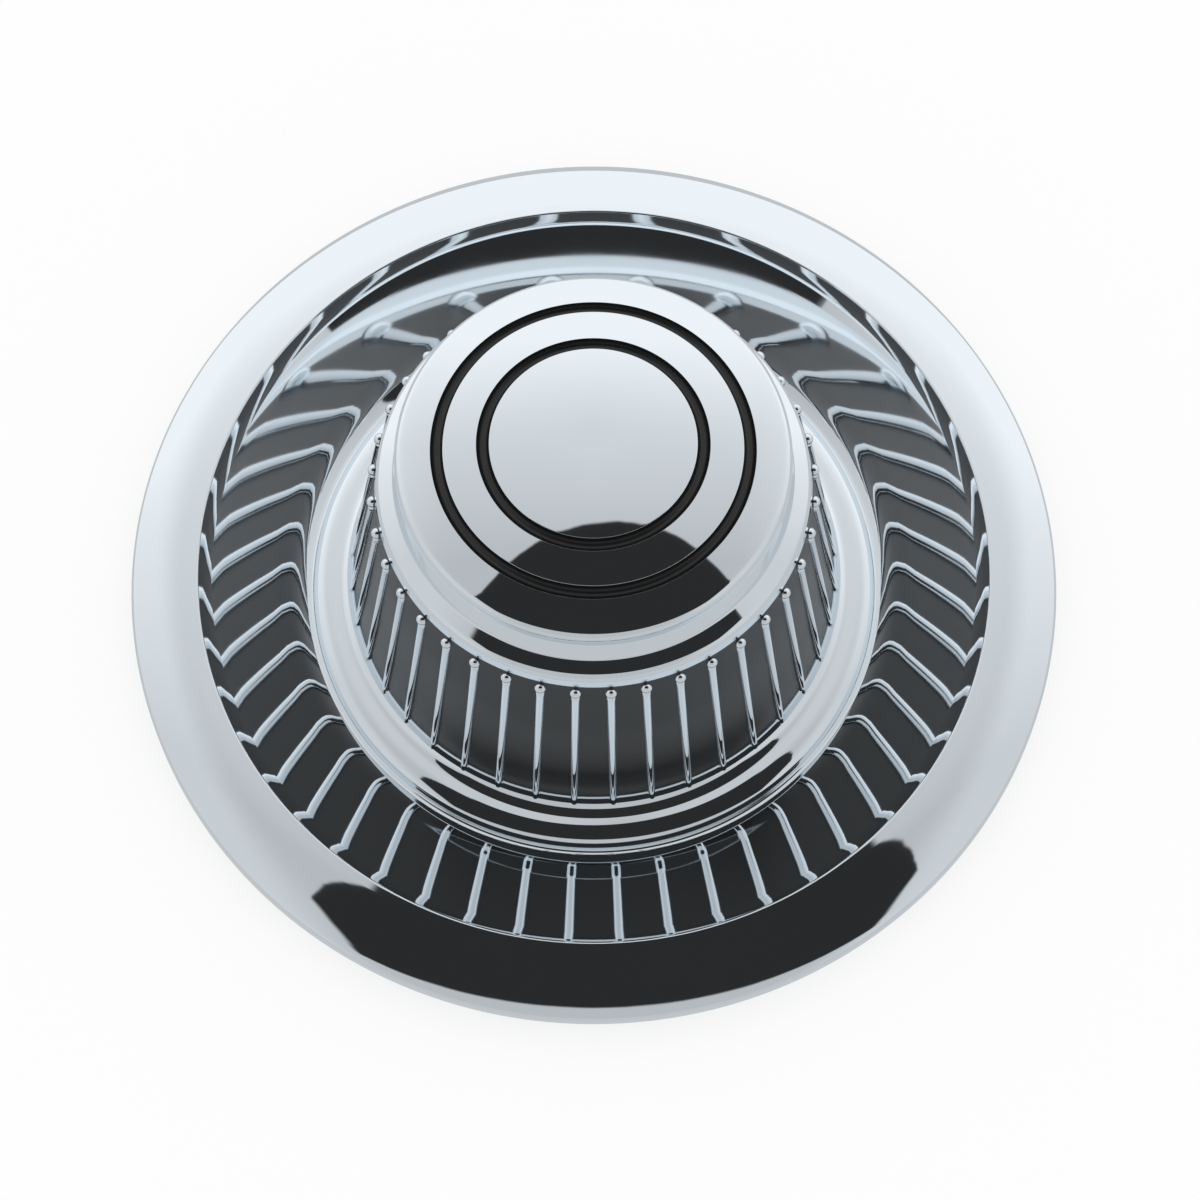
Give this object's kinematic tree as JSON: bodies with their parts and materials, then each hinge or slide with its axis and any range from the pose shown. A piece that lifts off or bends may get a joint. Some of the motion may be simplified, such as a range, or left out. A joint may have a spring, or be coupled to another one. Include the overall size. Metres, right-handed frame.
{
  "type": "hubcap",
  "caption": "Round chrome wheel centre cap pressed from one sheet: a broad brim, a dished trough, a tapered drum with bright ribs over black panels, and a domed disc with two black grooves.",
  "frame": {"origin": "on the cap's axis, in the plane that the underside of its trough rests on", "axes": "+Z along the cap's axis, out of its visible face; X and Y are alike, and the picture's front is -Y"},
  "size_m": [0.21, 0.21, 0.0784],
  "materials": {
    "chrome": "polished chrome plate, painted satin black in the grooves and between the ribs"
  },
  "bodies": {
    "root": {"cap_shell": "chrome"}
  },
  "joints": []
}
